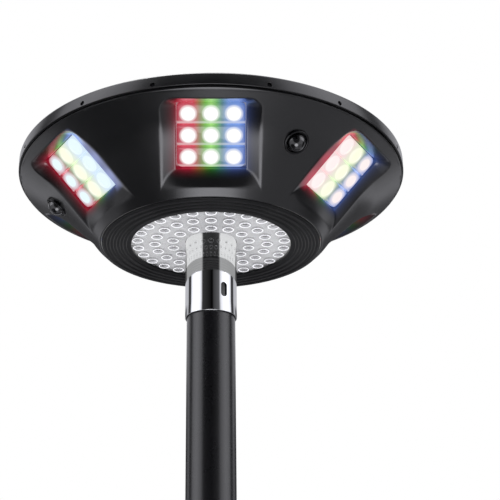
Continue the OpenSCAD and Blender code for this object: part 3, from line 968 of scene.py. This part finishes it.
def sensor(k):
    """Black dome in a round bezel."""
    place = frame_at(SENSOR_DIRECTIONS[k], sensor_r, rim_z - sensor_drop, sensor_tilt)
    hole_r, deep, proud = 11.2 * MM, 7 * MM, 2.9 * MM
    ring = rounded([(hole_r, -deep), (bezel_r, -deep), (bezel_r, proud), (12.2 * MM, proud),
                    (hole_r, 0.5 * MM)], [0, 0, 1.4, 0.8, 0.3], 5, closed=True)
    add_piece(f"sensor_bezel_{k + 1}", lathe("bezel", ring, 72, place), "sensor_ring",
              f"sensor_ring_{k + 1}")
    dome = [(dome_r * cos(t), dome_r * sin(t)) for t in np.linspace(0, pi / 2, 20)]
    profile = [(dome_r, -6 * MM)] + dome[:-1] + [(0, dome_r)]
    add_piece(f"sensor_dome_{k + 1}", lathe("dome", profile, 72, place, closed=False), "sensor_dome",
              f"motion_sensor_{k + 1}", smooth=60)


for k in range(3):
    sensor(k)


# ---- Neck and pole ----

def neck():
    """Chrome tube with an oblong slot."""
    inner_r = neck_r - 1.5 * MM
    slot_r, slot_half, slot_height = 4 * MM, 5 * MM, 27 * MM
    rings = [(neck_r, neck_low + h * MM) for h in (14, 16, 38, 40, 60, 80)]
    profile = rounded([(inner_r, neck_low), (neck_r, neck_low), *rings, (neck_r, neck_top),
                       (inner_r, neck_top)],
                      [0.3, 0.5, *[0] * len(rings), 0.3, 0.2], 4, closed=True)
    mesh = lathe("neck", profile, 256)
    piece = add_piece("neck_chrome_tube", mesh, "neck_chrome", "neck_tube", smooth=30)
    slot = [(cos(t) * slot_r, sin(t) * slot_r + (slot_half if t < pi else -slot_half))
            for t in np.linspace(0, 2 * pi, 48, endpoint=False)]
    bm = bmesh.new()
    prism_bmesh(bm, slot, [(-3 * MM, 0), (4 * MM, 0)],
                frame_at(SLOT_DIRECTION, neck_r, neck_low + slot_height))
    cut_away(piece, from_bmesh("slot", bm))
    piece.data.set_sharp_from_angle(angle=radians(30))


neck()


def pole_section(name, low, high):
    """Steel tube with bevelled ends."""
    bevel, inner_r = 0.8 * MM, pole_r - 2 * MM
    profile = rounded([(inner_r, low), (pole_r - bevel, low), (pole_r, low + bevel), (pole_r, high - bevel),
                       (pole_r - bevel, high), (inner_r, high)], 0.3, 2, closed=True)
    add_piece(f"{name}_tube", lathe(name, profile, 160), "pole_paint", name)


pole_section("pole_lower", pole_low, joint_z[0])
pole_section("pole_middle", joint_z[0], joint_z[1])
pole_section("pole_upper", joint_z[1], pole_top)

# A screw below each joint of the pole
screws("pole_screw_heads", "screw_black", "pole_joint_screws",
       [frame_at(JOINT_SCREW_DIRECTION, pole_r - 0.3 * MM, z - joint_screw_drop) for z in joint_z],
       4.5 * MM, 2.3 * MM)


# ---- Cross base ----

def bar(name, direction, start, stop, node):
    """Square tube with rounded corners that lies on the floor."""
    prism_piece(name, outline_square(arm_size, 3.5), [(start, 0), (stop, 0)],
                frame_at(direction, 0, arm_size / 2), "base_paint", node)


arm_end = arm_reach - cap_plate
bar("long_bar_tube", 135, -arm_end, arm_end, "base_long_bar")
bar("half_bar_tube_front_right", 45, arm_size / 2, arm_end, "base_half_bar_front_right")
bar("half_bar_tube_rear_left", 225, arm_size / 2, arm_end, "base_half_bar_rear_left")


def end_plug(name, direction):
    """Plastic plug in an arm's end: a bevelled plate with a shallow sunk face."""
    levels = [(0.05 * MM, 0.1 * MM), (cap_plate - 1.2 * MM, 0), (cap_plate - 0.3 * MM, 0.5 * MM),
              (cap_plate, 1.3 * MM), (cap_plate - 0.1 * MM, 3.6 * MM), (cap_plate - 0.6 * MM, 4.4 * MM)]
    prism_piece(f"{name}_plug", outline_square(arm_size, 3.2), levels,
                frame_at(direction, arm_end, arm_size / 2), "cap_plastic", f"end_cap_{name}", 25)


for name, direction in zip(("rear_right", "rear_left", "front_left", "front_right"), (135, 225, 315, 45)):
    end_plug(name, direction)


def arm_side(direction):
    """Place for a plug's screw, on the side of an arm that faces clockwise, seen from above."""
    place = frame_at(direction, arm_reach - cap_screw_inset, arm_size / 2)
    return place @ Matrix.Rotation(-pi / 2, 4, "Y") @ Matrix.Translation((0, 0, arm_size / 2))


screws("plug_screw_heads", "cap_screw_steel", "end_cap_screws",
       [arm_side(direction) for direction in ARM_DIRECTIONS], 4 * MM, 2.2 * MM)


def flange():
    """Square plate with rounded corners and a rolled edge."""
    high = flange_top - flange_low
    levels = [(0, 0.6 * MM), (0.6 * MM, 0), (high - 1.3 * MM, 0), (high - 0.4 * MM, 0.4 * MM),
              (high, 1.3 * MM)]
    prism_piece("flange_plate", outline_square(2 * flange_half, 6, 8), levels,
                Matrix.Translation((0, 0, flange_low)), "base_paint", "base_flange")


def weld_bead():
    """Fillet weld round the pole's foot, with the ripples of its passes."""
    count, passes, leg = 480, 72, 5.5 * MM
    bulge = [(1, 0), (0.80, 0.30), (0.50, 0.56), (0.24, 0.82), (0, 1)]
    verts, faces = [], []
    for i in range(count):
        angle = 2 * pi * i / count
        size = leg * (0.95 + 0.10 * abs(sin(passes * angle / 2)))
        section = [(pole_r + out * size, up * size) for out, up in bulge] + [(pole_r - 1 * MM, 0)]
        verts += [(r * cos(angle), r * sin(angle), flange_top + up) for r, up in section]
    row = len(bulge) + 1
    for i in range(count):
        n = (i + 1) % count
        for j in range(row):
            m = (j + 1) % row
            faces.append((i * row + j, n * row + j, n * row + m, i * row + m))
    add_piece("pole_foot_weld", mesh_from("weld", verts, faces), "pole_paint", smooth=60)


def flange_bolt_heads():
    """Chamfered hexagon heads on washers."""
    washer_r, washer_t, across, head = 10 * MM, 2 * MM, 17 * MM, 6.4 * MM
    chamfer, crown_h = 0.9 * MM, 0.35 * MM
    corner = across / sqrt(3)
    angles = [radians(60 * k) for k in range(6)]
    hexagon = [(corner * cos(angle), corner * sin(angle)) for angle in angles]
    washer = rounded([(0, 0), (washer_r, 0), (washer_r, washer_t), (0, washer_t)], [0, 0, 0.5, 0], 4)
    crown = rounded([(0, 0), (0.47 * across, 0), (0.42 * across, crown_h), (0, crown_h)], 0.1, 2)
    bm = bmesh.new()
    for direction in ARM_DIRECTIONS:
        place = frame_at(direction, bolt_r, flange_top) @ Matrix.Rotation(-pi / 2, 4, "X")
        lathe_bmesh(bm, washer, 40, place, closed=False)
        base = place @ Matrix.Translation((0, 0, washer_t))
        prism_bmesh(bm, hexagon, [(0, 0), (head - 1.1 * MM, 0), (head - crown_h, chamfer)], base)
        lathe_bmesh(bm, crown, 32, base @ Matrix.Translation((0, 0, head - crown_h)), closed=False)
    add_piece("flange_bolt_heads", from_bmesh("bolts", bm), "bolt_steel", "flange_bolts", smooth=25)


flange()
weld_bead()
flange_bolt_heads()


# ---- Finishes of the CAD nodes that show ----

SLOTS = {s["node"]: s["material_slot"] for s in frame["record"]["subparts"]}
for name, node in NODES.items():
    if not node.hide_render:
        node.data.materials.clear()
        node.data.materials.append(MAT[SLOTS[name]])


# ---- Studio ----

def stage_floor():
    """Pale floor that turns into plain white away from the lamp, and isn't seen in reflections."""
    reach = 60
    corners = [(-reach, -reach, 0), (reach, -reach, 0), (reach, reach, 0), (-reach, reach, 0)]
    mesh = mesh_from("floor", corners, [(0, 1, 2, 3)])
    floor = scene_object("studio_floor", mesh)
    s = Shader("floor_white", (0.86, 0.86, 0.86), 0.9)
    away = s.node("VectorMath", operation="LENGTH")
    s.link(s.place(), away.inputs[0])
    far = s.range(away.outputs["Value"], 0.8, 4.0, 0, 1)
    fade = s.ramp(far, [(0, (0, 0, 0)), (1, (1, 1, 1))], "EASE")
    seen = s.math("MAXIMUM", s.ray_is("Camera"), s.ray_is("Transmission"))
    white = s.node("Emission", Strength=1.0)
    mixed = s.mix_shaders(s.times(fade, seen), s.bsdf.outputs[0], white.outputs[0])
    s.link(mixed, s.tree.nodes["Material Output"].inputs[0])
    mesh.materials.append(s.material)
    floor.visible_glossy = False


stage_floor()

# Level of light by direction for a studio with pale walls at the sides and behind and a dark front.
# Turns are degrees from the front, positive to the right.
WALL_LEVELS = [
    (-180, 0.55), (-122, 0.55), (-116, 0.05), (-101, 0.05), (-96, 0.95), (-70, 1.65), (-45, 0.95),
    (-38, 0.04), (6, 0.0), (12, 0.05), (36, 0.12), (44, 0.90), (70, 1.60), (96, 0.95), (101, 0.05),
    (116, 0.05), (122, 0.55), (180, 0.55)]
# Soft patches below the horizon: direction, half and full reach of the patch, level
GROUND_PATCHES = [
    ((0.0, 1.0, -0.60), 0.45, 0.75, 0.13),
    ((-0.52, 0.05, -0.84), 0.36, 0.62, 0.05),
    ((0.62, 0.05, -0.78), 0.30, 0.60, 0.30),
    ((0.0, -1.0, -0.1), 0.50, 0.75, 0.06),
    ((0.0, -0.40, -0.91), 0.20, 0.42, 2.9),
    ((0.92, 0.38, -0.05), 0.40, 0.65, 0.05),
    ((-0.92, 0.38, -0.05), 0.40, 0.65, 0.30),
]
GROUND_LEVEL = 0.55
HORIZON_LEVEL = 0.5
CEILING_LEVEL = 1.9
CEILING_IN_MIRRORS = 0.9
BACKDROP_LEVEL = 0.06
ROOM_COLOR = (0.98, 0.98, 1.04)


class World(Nodes):
    """The studio seen from the lamp, as a level of light for each direction."""

    def __init__(self, tree):
        super().__init__(tree)
        self.direction = self.place("Generated")
        self.x, self.y, self.z = self.split(self.direction)

    def rise(self, value, low, high):
        return self.range(value, low, high, 0.0, 1.0, "SMOOTHSTEP")

    def fall(self, value, low, high):
        return self.range(value, low, high, 1.0, 0.0, "SMOOTHSTEP")

    def blend(self, factor, a, b):
        return self.mix(factor, a, b, "FLOAT")

    def walls(self):
        turn = self.math("ARCTAN2", self.x, self.times(self.y, -1))
        stops = [(angle / 360 + 0.5, (level, level, level)) for angle, level in WALL_LEVELS]
        return self.ramp(self.math("ADD", self.math("DIVIDE", turn, 2 * pi), 0.5), stops)

    def ground(self):
        level = GROUND_LEVEL
        for centre, reach, edge, patch_level in GROUND_PATCHES:
            away = self.node("VectorMath", operation="DISTANCE")
            self.link(self.direction, away.inputs[0])
            away.inputs[1].default_value = Vector(centre).normalized()
            level = self.blend(self.fall(away.outputs["Value"], reach, edge), level, patch_level)
        far = self.times(self.rise(self.z, -0.36, -0.22), self.rise(self.y, 0.4, 0.7))
        return self.blend(far, level, HORIZON_LEVEL)

    def room(self):
        """Ground, walls, a dark band low on the wall behind, and the ceiling."""
        level = self.blend(self.rise(self.z, 0.0, 0.15), self.ground(), self.walls())
        behind = self.times(self.fall(self.z, 0.32, 0.37), self.rise(self.y, 0.5, 0.8))
        behind = self.times(behind, self.rise(self.z, -0.1, 0.0))
        level = self.blend(behind, level, BACKDROP_LEVEL)
        ceiling = self.blend(self.ray_is("Glossy"), CEILING_LEVEL, CEILING_IN_MIRRORS)
        return self.blend(self.rise(self.z, 0.7, 0.9), level, ceiling)


def studio_world():
    """White for the camera, and the studio for everything that the lamp reflects."""
    world = bpy.data.worlds.new("studio")
    bpy.context.scene.world = world
    world.use_nodes = True
    world.node_tree.nodes.clear()
    w = World(world.node_tree)
    room = w.node("Background", Color=(*ROOM_COLOR, 1))
    w.link(w.room(), room.inputs["Strength"])
    white = w.node("Background", Color=(1, 1, 1, 1), Strength=1.0)
    mixed = w.mix_shaders(w.ray_is("Camera"), room.outputs[0], white.outputs[0])
    w.link(mixed, w.node("OutputWorld").inputs[0])


studio_world()


def overhead_light():
    """Soft square lamp high above, a little left of and in front of the post."""
    side, power, place = 2, 100, Vector((-0.6, -0.8, 6.5))
    data = bpy.data.lights.new("top", "AREA")
    data.shape = "RECTANGLE"
    data.size, data.size_y = side, side
    data.energy = power
    light = scene_object("top", data)
    light.location = place
    light.rotation_mode = "QUATERNION"
    light.rotation_quaternion = (-place).to_track_quat("-Z", "Y")
    light.visible_camera = False


overhead_light()


def place_camera():
    """Camera in front of the post and below the head, looking up at it."""
    distance, drop, pitch = 1.3815, 0.7035, 0.417
    camera = scene_object("camera", bpy.data.cameras.new("camera"))
    bpy.context.scene.camera = camera
    camera.location = (0, -distance, rim_z - drop)
    camera.rotation_euler = (pi / 2 + pitch, 0, 0)
    camera.data.sensor_width = 36
    camera.data.lens = 90.35
    camera.data.shift_x = 0.078
    camera.data.clip_start = 0.05


place_camera()
bpy.context.scene.view_settings.view_transform = "Standard"
